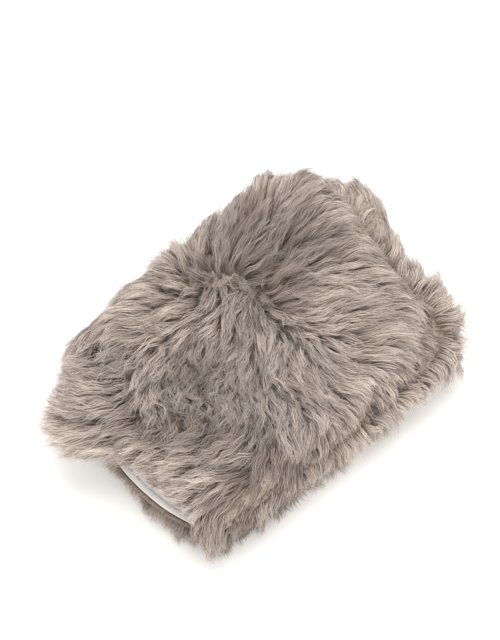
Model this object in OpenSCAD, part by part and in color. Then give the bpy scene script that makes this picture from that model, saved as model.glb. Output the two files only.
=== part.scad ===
// Long-wool sheepskin wash mitt.
// Two sheepskin panels are joined by a U-shaped wall of three sheepskin strips, wool outwards.
// The hand goes in at the open end, at -X, and the closed tip is at +X. The mitt lies on its palm.
// Origin: centre of the footprint, on the surface that the mitt lies on.

/* [Panels] */
// Thickness of the tanned hide
hide_t = 1.4; // [1:0.1:2]
// Thickness of the lining cloth
lining_t = 0.6; // [0.4:0.1:0.8]
// Clear height of the hand pocket as the empty mitt lies
pocket_h = 10; // [8:0.5:14]
// How far the linings stop short of the wall, which leaves a channel for the seam
seam_allowance = 5; // [4.5:0.5:8]

/* [Wool] */
// Depth of the wool pressed flat under the mitt
palm_wool = 16; // [12:1:20]
// Depth of the wool standing on the back
back_wool = 32; // [24:1:38]

/* [Mouth binding] */
// Width of the tape on the lining
binding_w = 5; // [4:0.5:7]
// Thickness of the tape
binding_t = 0.5; // [0.4:0.1:0.6]
// How far the bare edge of the hide shows past the tape
hide_reveal = 0.8; // [0.4:0.1:1.5]

/* [Thread] */
// Diameter of the sewing thread
thread_d = 0.5; // [0.4:0.05:0.6]
// Distance between stitches in the perimeter seam
seam_pitch = 6; // [5:0.5:8]
// Distance between stitches in the binding
binding_pitch = 5; // [4:0.5:7]

/* [Hidden] */

// Steps in each span of a smooth outline.
steps = 5;
// Steps over which the lining's edge moves out to the hide's edge at each mouth corner.
corner_steps = 2;

// Heights, from the surface that the mitt lies on.
z_hide = palm_wool;
z_lining = z_hide + hide_t;
z_floor = z_lining + lining_t;
z_ceiling = z_floor + pocket_h;
z_top_hide = z_ceiling + lining_t;
z_back = z_top_hide + hide_t;
z_crown = z_back + back_wool;

// How much of a stitch shows on the surface, as a share of the pitch.
stitch_share = 0.62;
// How far the stitches in the tape lie from the mouth edge.
tape_stitch_inset = binding_w * 0.6;
// Sides of the drawn thread.
thread_sides = 24;
// Thickness of the lining on the wall.
wall_lining_t = 0.5;

// Edge of both hides round the three sewn sides, from the right mouth corner round the tip.
sewn_edge = [[-108, -79], [-84, -84], [-40, -85], [10, -85], [60, -83], [92, -75], [108, -52],
    [108, -30], [112, 2], [117, 30], [117, 54], [100, 71], [62, 79], [10, 79], [-40, 78],
    [-84, 77], [-106, 72]];
// The spans of sewn_edge that each wall strip covers.
right_spans = [0, 4];
tip_spans = [4, 12];
left_spans = [12, 16];
sewn_spans = [0, 16];

// Edge of the palm panel at the mouth, from the left corner back to the right one.
palm_mouth = [[-121, 40], [-127, 5], [-127, -25], [-121, -55]];
// Edge of the back panel at the mouth, which carries the cuff lobe on the left.
back_mouth = [[-119, 64], [-134, 57], [-142, 40], [-139, 20], [-124, 6], [-118, -14], [-117, -35],
    [-113, -58]];

// Outer edge of the wool on the wall, one point for each point of sewn_edge, then the mouth.
wall_wool_edge = [[-116, -91], [-84, -96], [-40, -97], [10, -97], [60, -95], [104, -88],
    [131, -64], [133, -36], [137, 2], [145, 28], [150, 57], [130, 80], [68, 96], [10, 97],
    [-40, 95], [-84, 92], [-110, 86]];
open_mouth = [[-130, 50], [-134, 0], [-130, -60]];

// Outer edge of the wool under the palm.
palm_wool_edge = [[-118, -91], [-84, -97], [-40, -98], [10, -98], [60, -96], [100, -86],
    [124, -64], [129, -40], [130, -18], [134, 6], [140, 28], [142, 52], [128, 72], [100, 84],
    [62, 90], [10, 91], [-40, 90], [-84, 88], [-112, 80], [-128, 50], [-132, 20], [-133, -15],
    [-133, -45], [-128, -72]];
// Outer edge of the wool on the back, with the cuff lobe on the left of the mouth.
back_wool_edge = [[-117, -92], [-84, -97], [-40, -97], [10, -97], [56, -95], [86, -85],
    [103, -62], [110, -28], [109, 4], [115, 32], [123, 59], [113, 82], [82, 98], [34, 101],
    [-30, 98], [-76, 93], [-98, 85], [-106, 73], [-120, 70], [-138, 64], [-150, 42], [-149, 18],
    [-136, 2], [-129, -14], [-126, -40], [-123, -70]];

// How far loose wool would reach past a surface that presses it flat.
press = 1;
// Side of a block larger than the mitt.
block = 400;

// Section of each pile: [share of the way from the middle, or from the hide, to the edge, height].
palm_profile = [[0.88, -press], [0.935, palm_wool * 0.12], [0.975, palm_wool * 0.3],
    [1, palm_wool * 0.6], [0.985, palm_wool + press]];
back_profile = [[0.97, z_back - press], [1, z_back + back_wool * 0.2],
    [0.97, z_back + back_wool * 0.5], [0.87, z_back + back_wool * 0.76],
    [0.68, z_back + back_wool * 0.92], [0.45, z_back + back_wool * 0.98], [0.2, z_crown + press]];
wall_mid = (z_hide + z_back) / 2;
wall_half = (z_back - z_hide) / 2;
wall_profile = [[0, z_hide], [0.72, z_hide], [0.94, wall_mid - wall_half / 2], [1, wall_mid],
    [0.94, wall_mid + wall_half / 2], [0.72, z_back], [0, z_back]];

/* Points on and beside a smooth closed outline, which runs anticlockwise */

function wrapped(i, n) = ((i % n) + n) % n;

// A point on the Catmull-Rom curve between control points i and i + 1.
function on_curve(p, i, t) =
    let (n = len(p), a = p[wrapped(i - 1, n)], b = p[i], c = p[(i + 1) % n], d = p[(i + 2) % n])
    b + (c - a) * t / 2 + (2 * a - 5 * b + 4 * c - d) * t * t / 2
    + (3 * b - a - 3 * c + d) * t * t * t / 2;

function smooth(p) = [for (i = [0:len(p) - 1], k = [0:steps - 1]) on_curve(p, i, k / steps)];

function outward(loop, i) =
    let (n = len(loop), t = loop[(i + 1) % n] - loop[wrapped(i - 1, n)])
    [t.y, -t.x] / norm(t);

function grown(loop, d) = [for (i = [0:len(loop) - 1]) loop[i] + d * outward(loop, i)];

// The points of a loop from one control point to another.
function stretch(loop, spans) =
    [for (i = [spans[0] * steps:spans[1] * steps]) loop[i % len(loop)]];

// The lining's edge: in the fold of the tape along the mouth, and short of the wall elsewhere.
function lining_edge(loop, d) =
    let (first = sewn_spans[1] * steps + corner_steps, last = len(loop) - corner_steps)
    [for (i = [0:len(loop) - 1])
        loop[i] - (i >= first && i <= last ? hide_reveal + binding_t : d) * outward(loop, i)];

// Distance along a path at each of its points.
function distances(p) =
    [for (i = 0, s = 0; i < len(p);
        s = s + (i + 1 < len(p) ? norm(p[i + 1] - p[i]) : 0), i = i + 1) s];

function at_distance(p, s, key) = let (d = distances(p))
    lookup(s, [for (i = [0:len(p) - 1]) [d[i], p[i][key]]]);

palm_loop = smooth(concat(sewn_edge, palm_mouth));
back_loop = smooth(concat(sewn_edge, back_mouth));
wall_wool_loop = smooth(concat(wall_wool_edge, open_mouth));
palm_mouth_spans = [sewn_spans[1], len(sewn_edge) + len(palm_mouth)];
back_mouth_spans = [sewn_spans[1], len(sewn_edge) + len(back_mouth)];

/* Shapes */

// A pile over an outline, pressed flat below and above: each ring is the outline drawn in
// towards the middle.
module pile(loop, profile, low, high) {
    n = len(loop);
    rings = len(profile);
    points = [for (ring = profile, p = loop) [p.x * ring[0], p.y * ring[0], ring[1]]];
    walls = [for (r = [0:rings - 2], i = [0:n - 1])
        [r * n + i, (r + 1) * n + i, (r + 1) * n + (i + 1) % n, r * n + (i + 1) % n]];
    bottom = [[for (i = [0:n - 1]) i]];
    top = [[for (i = [n - 1:-1:0]) (rings - 1) * n + i]];
    intersection() {
        polyhedron(points, concat(walls, bottom, top), convexity = 4);
        translate([-block / 2, -block / 2, low]) cube([block, block, high - low]);
    }
}

// A strip carried along two rails: each profile point is a share of the way across, and a height.
module strip(inner, outer, profile) {
    n = len(profile);
    m = len(inner);
    points = [for (j = [0:m - 1], q = profile)
        let (p = inner[j] + (outer[j] - inner[j]) * q[0]) [p.x, p.y, q[1]]];
    walls = [for (j = [0:m - 2], k = [0:n - 1])
        [j * n + k, j * n + (k + 1) % n, (j + 1) * n + (k + 1) % n, (j + 1) * n + k]];
    start = [[for (k = [n - 1:-1:0]) k]];
    finish = [[for (k = [0:n - 1]) (m - 1) * n + k]];
    polyhedron(points, concat(walls, start, finish), convexity = 8);
}

module sheet(loop, z, t) {
    translate([0, 0, z]) linear_extrude(t) polygon(loop);
}

// The hide or lining of the wall, between two distances outside the sewn edge.
module wall(spans, inside, outside) {
    section = [[0, z_lining], [1, z_lining], [1, z_top_hide], [0, z_top_hide]];
    strip(stretch(grown(palm_loop, inside), spans), stretch(grown(palm_loop, outside), spans),
        section);
}

module wall_wool(spans) {
    strip(stretch(palm_loop, spans), stretch(wall_wool_loop, spans), wall_profile);
}

// A tape over the edge of the lining: one leg lies on it, the other goes down to the hide.
module binding(loop, spans, face, leg, edge) {
    front = 1 - binding_t / (binding_w - hide_reveal);
    strip(stretch(grown(loop, -binding_w), spans), stretch(grown(loop, -hide_reveal), spans),
        [[0, face], [front, face], [front, edge], [1, edge], [1, leg], [0, leg]]);
}

// Separate stitches of one thread, end to end along a path.
module stitches(path, z, pitch) {
    total = distances(path)[len(path) - 1];
    count = floor(total / pitch);
    spare = (total - count * pitch) / 2;
    for (k = [0:count - 1]) {
        s = spare + (k + 0.5) * pitch;
        half = pitch * stitch_share / 2;
        a = [at_distance(path, s - half, 0), at_distance(path, s - half, 1)];
        b = [at_distance(path, s + half, 0), at_distance(path, s + half, 1)];
        translate([a.x, a.y, z]) rotate([0, 90, atan2(b.y - a.y, b.x - a.x)])
            cylinder(h = norm(b - a), d = thread_d, $fn = thread_sides);
    }
}

seam_line = stretch(grown(palm_loop, -(wall_lining_t + hide_t + seam_allowance) / 2), sewn_spans);

/* Palm side */

module bottom_fleece() {
    color("#9C8C80") pile(smooth(palm_wool_edge), palm_profile, 0, z_hide);
}

module bottom_hide() {
    color("#7A5A42") sheet(palm_loop, z_hide, hide_t);
}

module bottom_lining() {
    color("#F1EEEA") sheet(lining_edge(palm_loop, seam_allowance), z_lining, lining_t);
}

module bottom_mouth_binding() {
    color("#FAF8F4") binding(palm_loop, palm_mouth_spans, z_floor, z_floor + binding_t, z_lining);
}

module bottom_seam_stitches() {
    color("#D8CFC4") stitches(seam_line, z_lining + thread_d / 2, seam_pitch);
}

module bottom_binding_stitches() {
    color("#F4F1EC") stitches(stretch(grown(palm_loop, -tape_stitch_inset), palm_mouth_spans),
        z_floor + binding_t + thread_d / 2, binding_pitch);
}

/* Wall of three strips */

module right_side_fleece() {
    color("#A39387") wall_wool(right_spans);
}

module right_side_hide() {
    color("#7A5A42") wall(right_spans, -hide_t, 0);
}

module tip_fleece() {
    color("#AC9D92") wall_wool(tip_spans);
}

module tip_hide() {
    color("#7A5A42") wall(tip_spans, -hide_t, 0);
}

module left_side_fleece() {
    color("#A39387") wall_wool(left_spans);
}

module left_side_hide() {
    color("#7A5A42") wall(left_spans, -hide_t, 0);
}

module wall_lining() {
    color("#F1EEEA") wall(sewn_spans, -hide_t - wall_lining_t, -hide_t);
}

/* Back of the hand */

module top_fleece() {
    color("#A8998E") pile(smooth(back_wool_edge), back_profile, z_back, z_crown);
}

module top_hide() {
    color("#7A5A42") sheet(back_loop, z_top_hide, hide_t);
}

module top_lining() {
    color("#F1EEEA") sheet(lining_edge(back_loop, seam_allowance), z_ceiling, lining_t);
}

module top_mouth_binding() {
    color("#FAF8F4")
        binding(back_loop, back_mouth_spans, z_ceiling, z_ceiling - binding_t, z_top_hide);
}

module top_seam_stitches() {
    color("#D8CFC4") stitches(seam_line, z_top_hide - thread_d / 2, seam_pitch);
}

module top_binding_stitches() {
    color("#F4F1EC") stitches(stretch(grown(back_loop, -tape_stitch_inset), back_mouth_spans),
        z_ceiling - binding_t - thread_d / 2, binding_pitch);
}

bottom_fleece();
bottom_hide();
bottom_lining();
bottom_mouth_binding();
bottom_seam_stitches();
bottom_binding_stitches();
right_side_fleece();
right_side_hide();
tip_fleece();
tip_hide();
left_side_fleece();
left_side_hide();
wall_lining();
top_fleece();
top_hide();
top_lining();
top_mouth_binding();
top_seam_stitches();
top_binding_stitches();
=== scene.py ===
"""Long-wool sheepskin wash mitt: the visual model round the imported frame.

Hides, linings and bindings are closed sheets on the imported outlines. The wool is locks of fine
tapered strands that grow from a dense underwool and follow the strokes of a comb.
"""

import logging
import math
from dataclasses import dataclass
from enum import Enum
from typing import Callable

import bpy
import numpy as np
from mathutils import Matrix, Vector


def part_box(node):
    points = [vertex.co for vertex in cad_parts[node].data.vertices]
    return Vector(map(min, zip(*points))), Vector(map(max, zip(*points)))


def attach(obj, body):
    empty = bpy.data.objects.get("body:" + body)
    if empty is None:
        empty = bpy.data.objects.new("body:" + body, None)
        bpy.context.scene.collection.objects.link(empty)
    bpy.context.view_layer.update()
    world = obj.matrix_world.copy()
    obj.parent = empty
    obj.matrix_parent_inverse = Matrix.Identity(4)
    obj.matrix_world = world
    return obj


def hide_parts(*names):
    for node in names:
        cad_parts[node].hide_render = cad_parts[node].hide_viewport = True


LOG = logging.getLogger("wash_mitt")
Array = np.ndarray

MM = 0.001
TAU = 2 * math.pi
UP = np.array([0.0, 0.0, 1.0])
BODY = "root"
# Vertices farther apart than this along a row belong to two stitches, in mm.
STITCH_GAP = 0.6
# The vertex colour that holds what the wool's finish reads.
FIBRE = "fibre"
# Corners of a strand's section, and its height as a share of its width.
FIBRE_SIDES = 3
FIBRE_FLATNESS = 0.55

# How finely the sheets and the underwool follow their outlines.
HEADINGS = 216
# The lowest that a strand's centre may lie above the ground, in mm.
GROUND_CLEARANCE = 0.9
# How far out, in mm, the wool on the far side starts to bend up, and where it ends.
SOFT_FAR_SIDE = 106.0
FAR_SIDE = 114.5
# Above this height the wool stands less and less, up to the crown's height, in mm.
SOFT_CEILING = 63.0
CROWN = 72.5


class Region(Enum):
    """Which stretch of the mitt a pile of wool covers."""

    BACK = "back"
    PALM = "palm"
    RIGHT = "right_wall"
    TIP = "tip_wall"
    LEFT = "left_wall"
    MOUTH = "palm_mouth"


class Coat(Enum):
    """Which kind of hair a pile is made of."""

    WOOL = "wool"
    GUARD = "guard_hair"


# ---------------------------------------------------------------- numbers


def smoothstep(low: float, high: float, value: Array) -> Array:
    """Rises smoothly from 0 at low to 1 at high, as 3t^2 - 2t^3.

    Args:
        low: value where the rise starts.
        high: value where it ends.
        value: values to map.

    Returns:
        Array of the same shape, from 0 to 1.
    """
    t = np.clip((np.asarray(value, float) - low) / (high - low), 0, 1)
    return t * t * (3 - 2 * t)


def unit(vectors: Array) -> Array:
    """Returns the vectors scaled to length 1 along their last axis."""
    length = np.linalg.norm(vectors, axis=-1, keepdims=True)
    return vectors / np.maximum(length, 1e-9)


def dot(a: Array, b: Array) -> Array:
    """Returns the dot product along the last axis, which is kept."""
    return np.sum(a * b, axis=-1, keepdims=True)


def ripples(xy: Array, wavelength: float, seed: int, waves: int = 14) -> Array:
    """A smooth random field: the sum of cosine waves of random heading and phase.

    Args:
        xy: (..., 2) places in mm.
        wavelength: usual distance between crests in mm.
        seed: seed of the headings and phases.
        waves: how many waves are added.

    Returns:
        (...) values, spread about 0 with deviation 1.
    """
    rng = np.random.default_rng(seed)
    heading = rng.uniform(0, TAU, waves)
    pace = TAU / (wavelength * rng.uniform(0.7, 1.5, waves))
    phase = rng.uniform(0, TAU, waves)
    turn = np.stack([np.cos(heading), np.sin(heading)]) * pace
    return np.cos(xy @ turn + phase).sum(-1) * math.sqrt(2 / waves)


def srgb(code: str) -> tuple[float, float, float, float]:
    """Turns an sRGB hex value to a linear colour.

    Args:
        code: the value, such as "#A0B0C0".

    Returns:
        Linear red, green and blue, and an alpha of 1.
    """
    parts = [int(code[i : i + 2], 16) / 255 for i in (1, 3, 5)]
    linear = [c / 12.92 if c <= 0.04045 else ((c + 0.055) / 1.055) ** 2.4 for c in parts]
    return (linear[0], linear[1], linear[2], 1.0)


def level(xy: Array) -> Array:
    """Returns (n, 3) level vectors from (n, 2) ones."""
    return np.concatenate([xy, np.zeros((len(xy), 1))], -1)


def polar(radius: Array, heading: Array, z: Array) -> Array:
    """Returns (..., 3) places at a radius, a heading in radians and a height."""
    radius, heading, z = np.broadcast_arrays(radius, heading, z)
    return np.stack([radius * np.cos(heading), radius * np.sin(heading), z], -1)


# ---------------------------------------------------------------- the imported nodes


def places_of(node: str) -> Array:
    """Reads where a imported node's vertices are.

    Args:
        node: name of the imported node.

    Returns:
        (n, 3) places in mm.
    """
    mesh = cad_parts[node].data
    co = np.empty(len(mesh.vertices) * 3)
    mesh.vertices.foreach_get("co", co)
    return co.reshape(-1, 3) / MM


def span_of(node: str) -> tuple[float, float]:
    """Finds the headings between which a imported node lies.

    Args:
        node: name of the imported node, which doesn't cross the -X axis.

    Returns:
        Lowest and highest heading in radians.
    """
    co = places_of(node)
    heading = np.arctan2(co[:, 1], co[:, 0])
    return float(heading.min()), float(heading.max())


def levels(node: str) -> tuple[float, float]:
    """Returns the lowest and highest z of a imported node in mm."""
    low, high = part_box(node)
    return low[2] / MM, high[2] / MM


# ---------------------------------------------------------------- outlines


@dataclass(frozen=True)
class Outline:
    """A closed outline round the origin: a radius in mm for each heading.

    Attributes:
        heading: sorted headings in radians, from -pi to pi.
        radius: the outline's distance from the origin at each of them.
    """

    heading: Array
    radius: Array

    @classmethod
    def of_node(cls, node: str) -> "Outline":
        """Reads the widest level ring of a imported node.

        Args:
            node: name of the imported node.

        Returns:
            The outline through that ring's corners.
        """
        co = places_of(node)
        reach = np.hypot(co[:, 0], co[:, 1])
        height = co[np.argmax(reach), 2]
        ring = np.unique(np.round(co[np.abs(co[:, 2] - height) < 0.05][:, :2], 2), axis=0)
        heading = np.arctan2(ring[:, 1], ring[:, 0])
        order = np.argsort(heading)
        return cls(heading[order], np.hypot(ring[:, 0], ring[:, 1])[order])

    def at(self, heading: Array) -> Array:
        """Returns the radius in mm at headings in radians."""
        return np.interp(heading, self.heading, self.radius, period=TAU)

    def inset(self, distance: float) -> "Outline":
        """Returns the outline drawn in towards the origin by a distance in mm."""
        return Outline(self.heading, self.radius - distance)

    def drawn_in(self, middle: float, swing: float) -> "Outline":
        """Draws the outline in by more on the right side than on the left.

        Args:
            middle: distance at both ends in mm.
            swing: how much more it is at the right, -Y, and less at the left.

        Returns:
            The new outline.
        """
        return Outline(self.heading, self.radius - middle + swing * np.sin(self.heading))

    def wider_of(self, other: "Outline") -> "Outline":
        """Returns the outline that takes the larger radius at each heading."""
        return Outline(self.heading, np.maximum(self.radius, other.at(self.heading)))

    def notched(self, y: float, width: float, depth: float) -> "Outline":
        """Draws the outline in at the -X side by a bell curve in y.

        Args:
            y: where the bell's middle is, in mm.
            width: the bell's half width in mm.
            depth: how far it's drawn in, in mm, or out if negative.

        Returns:
            The new outline.
        """
        at = np.stack([self.radius * np.cos(self.heading), self.radius * np.sin(self.heading)])
        bell = depth * np.exp(-(((at[1] - y) / width) ** 2)) * (at[0] < 0)
        return Outline(self.heading, self.radius - bell)

    def swelled(self, degrees: float, width: float, height: float) -> "Outline":
        """Pushes the outline out round one heading by a bell curve.

        Args:
            degrees: the heading from +X.
            width: the bell's half width in degrees.
            height: how far it's pushed out in mm.

        Returns:
            The new outline.
        """
        off = (np.degrees(self.heading) - degrees + 180) % 360 - 180
        return Outline(self.heading, self.radius + height * np.exp(-((off / width) ** 2)))

    def area(self) -> float:
        """Returns the area in square mm, summed over the thin triangles from the origin."""
        turn = np.append(self.heading, self.heading[0] + TAU)
        radius = np.append(self.radius, self.radius[0])
        return float(np.sum(radius[1:] * radius[:-1] * np.sin(np.diff(turn))) / 2)

    def past(self, places: Array) -> Array:
        """Returns how far in mm places lie outside the outline, negative inside."""
        heading = np.arctan2(places[:, 1], places[:, 0])
        return np.hypot(places[:, 0], places[:, 1]) - self.at(heading)

    def share(self, xy: Array) -> Array:
        """Returns how far places lie from the origin, as a share of the way to the outline."""
        return np.hypot(xy[..., 0], xy[..., 1]) / self.at(np.arctan2(xy[..., 1], xy[..., 0]))


# ---------------------------------------------------------------- meshes


def signed_volume(points: Array, faces: list[Array]) -> float:
    """Adds up the volumes of the pyramids from the origin to each triangle of the faces.

    Args:
        points: (n, 3) places.
        faces: blocks of faces, each (f, corners).

    Returns:
        The volume that the faces enclose, negative if they point inwards.
    """
    total = 0.0
    for block in faces:
        for k in range(1, block.shape[1] - 1):
            a, b, c = points[block[:, 0]], points[block[:, k]], points[block[:, k + 1]]
            total += float(np.sum(np.cross(b, c) * a))
    return total / 6


def make_piece(
    name: str, points: Array, faces: list[Array], node: str, material: bpy.types.Material
) -> bpy.types.Object:
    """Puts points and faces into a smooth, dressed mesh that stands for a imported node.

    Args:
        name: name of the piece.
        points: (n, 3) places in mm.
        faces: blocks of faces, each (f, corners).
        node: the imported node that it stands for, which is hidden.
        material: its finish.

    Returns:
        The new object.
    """
    if signed_volume(points, faces) < 0:
        faces = [block[:, ::-1] for block in faces]
    loops = np.concatenate([block.ravel() for block in faces])
    sizes = np.concatenate([np.full(len(block), block.shape[1]) for block in faces])
    starts = np.concatenate([[0], np.cumsum(sizes)[:-1]])
    mesh = bpy.data.meshes.new(name)
    mesh.vertices.add(len(points))
    mesh.vertices.foreach_set("co", (points * MM).astype(np.float32).ravel())
    mesh.loops.add(len(loops))
    mesh.loops.foreach_set("vertex_index", loops.astype(np.int32))
    mesh.polygons.add(len(sizes))
    mesh.polygons.foreach_set("loop_start", starts.astype(np.int32))
    mesh.update(calc_edges=True)
    mesh.shade_smooth()
    mesh.materials.append(material)
    piece = bpy.data.objects.new(name, mesh)
    bpy.context.collection.objects.link(piece)
    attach(piece, BODY)
    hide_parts(node)
    LOG.info("%s: %d triangles", name, int((sizes - 2).sum()))
    return piece


def lattice(rows: int, columns: int) -> Array:
    """Quads of a grid whose last column joins its first.

    Args:
        rows: points in each column.
        columns: points in each row.

    Returns:
        (f, 4) indices into the grid, row by row.
    """
    r, c = np.meshgrid(np.arange(rows - 1), np.arange(columns), indexing="ij")
    n = (c + 1) % columns
    quads = [r * columns + c, r * columns + n, (r + 1) * columns + n, (r + 1) * columns + c]
    return np.stack(quads, -1).reshape(-1, 4)


def fan(ring: Array, pole: int) -> Array:
    """Returns triangles from a closed ring of indices to a pole."""
    return np.stack([ring, np.roll(ring, -1), np.full(len(ring), pole)], -1)


def closed_form(
    name: str, grid: Array, node: str, material: bpy.types.Material, poles: Array | None = None
) -> bpy.types.Object:
    """Makes a piece of a grid of rings, closed with a pole at each end.

    Args:
        name: name of the piece.
        grid: (rings, columns, 3) places in mm.
        node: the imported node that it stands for.
        material: its finish.
        poles: (2, 3) places that close the first and the last ring, or else the rings' means.

    Returns:
        The new object.
    """
    rings, columns = grid.shape[:2]
    if poles is None:
        poles = np.array([grid[0].mean(0), grid[-1].mean(0)])
    points = np.concatenate([grid.reshape(-1, 3), poles])
    first, last = np.arange(columns), np.arange(columns) + (rings - 1) * columns
    ends = np.concatenate([fan(first[::-1], len(points) - 2), fan(last, len(points) - 1)])
    return make_piece(name, points, [lattice(rings, columns), ends], node, material)


@dataclass(frozen=True)
class Skin:
    """A surface that wool grows from, as a grid of rings.

    Attributes:
        grid: (rings, columns, 3) places in mm, whose last column repeats the first if closed.
    """

    grid: Array

    def normals(self) -> Array:
        """Returns outward unit normals: along the ring crossed with up the profile."""
        around = np.gradient(self.grid, axis=1)
        up = np.gradient(self.grid, axis=0)
        return unit(np.cross(around, up))

    def scatter(self, count: int, rng: np.random.Generator) -> tuple[Array, Array]:
        """Spreads places evenly over the surface.

        Args:
            count: how many places.
            rng: source of chance.

        Returns:
            (count, 3) places in mm and (count, 3) unit normals there.
        """
        g, n = self.grid, self.normals()
        across = np.cross(g[1:, :-1] - g[:-1, :-1], g[:-1, 1:] - g[:-1, :-1])
        total = np.cumsum(np.linalg.norm(across, axis=-1).ravel())
        marks = (np.arange(count) + rng.random(count)) / count * total[-1]
        cell = np.minimum(np.searchsorted(total, marks), len(total) - 1)
        i, j = np.divmod(cell, g.shape[1] - 1)
        u, v = rng.random((2, count, 1))

        def mixed(a: Array) -> Array:
            """Returns the grid's values at the drawn places, mixed from each cell's corners."""
            low = a[i, j] * (1 - v) + a[i, j + 1] * v
            high = a[i + 1, j] * (1 - v) + a[i + 1, j + 1] * v
            return low * (1 - u) + high * u

        return mixed(g), unit(mixed(n))


def rings_over(outline: Outline, profile: Array, headings: Array) -> Array:
    """Draws an outline in towards the origin at each level of a profile.

    Args:
        outline: the outline at share 1.
        profile: (rings, 2) rows of share and z in mm.
        headings: headings of the columns in radians.

    Returns:
        (rings, columns, 3) places: share times radius along each heading, at z.
    """
    return polar(outline.at(headings)[None, :] * profile[:, 0:1], headings, profile[:, 1:2])


def round_the_clock(closed: bool = False) -> Array:
    """Spaces headings evenly, once round.

    Args:
        closed: whether the last one repeats the first.

    Returns:
        Headings in radians, from -pi.
    """
    headings = np.arange(HEADINGS) / HEADINGS * TAU - math.pi
    return np.append(headings, headings[0] + TAU) if closed else headings


def eased_profile(corners: list[tuple[float, float]], steps: int = 7) -> Array:
    """Rounds a profile's corners with a Catmull-Rom curve.

    Args:
        corners: rows of share and z in mm.
        steps: points in each span.

    Returns:
        (n, 2) points on the curve.
    """
    p = np.array([corners[0], *corners, corners[-1]], float)
    t = (np.arange(steps) / steps)[:, None]
    spans = [
        b + (c - a) * t / 2 + (2 * a - 5 * b + 4 * c - d) * t**2 / 2
        + (3 * b - a - 3 * c + d) * t**3 / 2
        for a, b, c, d in zip(p[:-3], p[1:-2], p[2:-1], p[3:])
    ]
    return np.concatenate([*spans, p[-1:]])


# ---------------------------------------------------------------- finishes


Tree = bpy.types.NodeTree
# A colour ramp's rows of place and sRGB hex value.
Stops = tuple[tuple[float, str], ...]


def add(
    tree: Tree, kind: str, inputs: dict | None = None, stops: Stops = (), **settings
) -> bpy.types.Node:
    """Adds a shader node with its settings, values and links.

    Args:
        tree: the node tree.
        kind: the node's type name.
        inputs: values or sockets by input name or index.
        stops: a colour ramp's rows of place and sRGB hex value.
        **settings: properties of the node.

    Returns:
        The new node.
    """
    node = tree.nodes.new(kind)
    for key, value in settings.items():
        setattr(node, key, value)
    for key, value in (inputs or {}).items():
        if isinstance(value, bpy.types.NodeSocket):
            tree.links.new(value, node.inputs[key])
        else:
            node.inputs[key].default_value = value
    for index, (place, code) in enumerate(stops):
        elements = node.color_ramp.elements
        if index == len(elements):
            elements.new(place)
        elements[index].position = place
        elements[index].color = srgb(code)
    return node


class Finish:
    """A material. Each kind says what its shader is fed."""

    name: str

    def surface(self, tree: Tree) -> dict:
        """Returns the shader's inputs by name, and adds the nodes that feed them."""
        raise NotImplementedError

    def build(self) -> bpy.types.Material:
        """Returns the material, with its one shader."""
        material = bpy.data.materials.new(self.name)
        material.use_nodes = True
        tree = material.node_tree
        tree.nodes.clear()
        shader = add(tree, "ShaderNodeBsdfPrincipled", self.surface(tree))
        add(tree, "ShaderNodeOutputMaterial", {"Surface": shader.outputs[0]})
        return material


@dataclass(frozen=True)
class WoolFinish(Finish):
    """Dyed long sheep's wool, tanned on the skin, washed and combed out.

    The fibre's scales scatter light softly, the tips are bleached paler than the roots, and no
    two locks took the dye alike, which gives the pile its depth. The roots are darker partly as
    painted shade deep in the pile, and the dye colour also holds painted shade.
    """

    name: str = "wool_dyed_combed"
    # The root colour is dark partly as painted shade, deep in the pile between the locks.
    root: str = "#66574D"
    shank: str = "#CBBBB0"
    tip: str = "#FAEDE4"
    dye_and_shade: str = "#7B675B"
    # How far the dye colour covers the wool where dye and painted shade are full.
    dye_and_shade_cover: float = 0.72
    # The darkest strand's tone and the span up to the palest one's, and the span of a lock's.
    strand_low: float = 0.71
    strand_span: float = 0.46
    lock_span: float = 0.36

    def surface(self, tree: Tree) -> dict:
        """The colour is a root-to-tip ramp, darkened by dye and painted shade, times the tones of
        strand and lock.

        Args:
            tree: the material's node tree.

        Returns:
            The shader's inputs by name.
        """
        data = add(tree, "ShaderNodeAttribute", attribute_name=FIBRE)
        parts = add(tree, "ShaderNodeSeparateColor", {"Color": data.outputs["Color"]})
        along, strand, lock = (parts.outputs[k] for k in ("Red", "Green", "Blue"))
        base = add(tree, "ShaderNodeValToRGB", {"Fac": along},
                   ((0.0, self.root), (0.4, self.shank), (1.0, self.tip)))
        # Mixes in the dye colour, which also stands for painted shade.
        deep = add(tree, "ShaderNodeMath", {0: data.outputs["Alpha"], 1: self.dye_and_shade_cover},
                   operation="MULTIPLY")
        dyed_and_shaded = add(tree, "ShaderNodeMix",
                   {"Factor": deep.outputs[0], "A": base.outputs["Color"], "B": srgb(self.dye_and_shade)},
                   data_type="RGBA")
        tone = add(tree, "ShaderNodeMath", {0: strand, 1: self.strand_span, 2: self.strand_low},
                   operation="MULTIPLY_ADD")
        lock_tone = add(tree, "ShaderNodeMath", {0: lock, 1: self.lock_span, 2: -self.lock_span / 2},
                        operation="MULTIPLY_ADD")
        total = add(tree, "ShaderNodeMath", {0: tone.outputs[0], 1: lock_tone.outputs[0]},
                    operation="ADD")
        toned = add(tree, "ShaderNodeMix",
                    {"Factor": 1.0, "A": dyed_and_shaded.outputs["Result"], "B": total.outputs[0]},
                    data_type="RGBA", blend_type="MULTIPLY")
        return {"Base Color": toned.outputs["Result"], "Roughness": 0.6,
                "Specular IOR Level": 0.32, "Sheen Weight": 0.22, "Sheen Roughness": 0.45}


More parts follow.
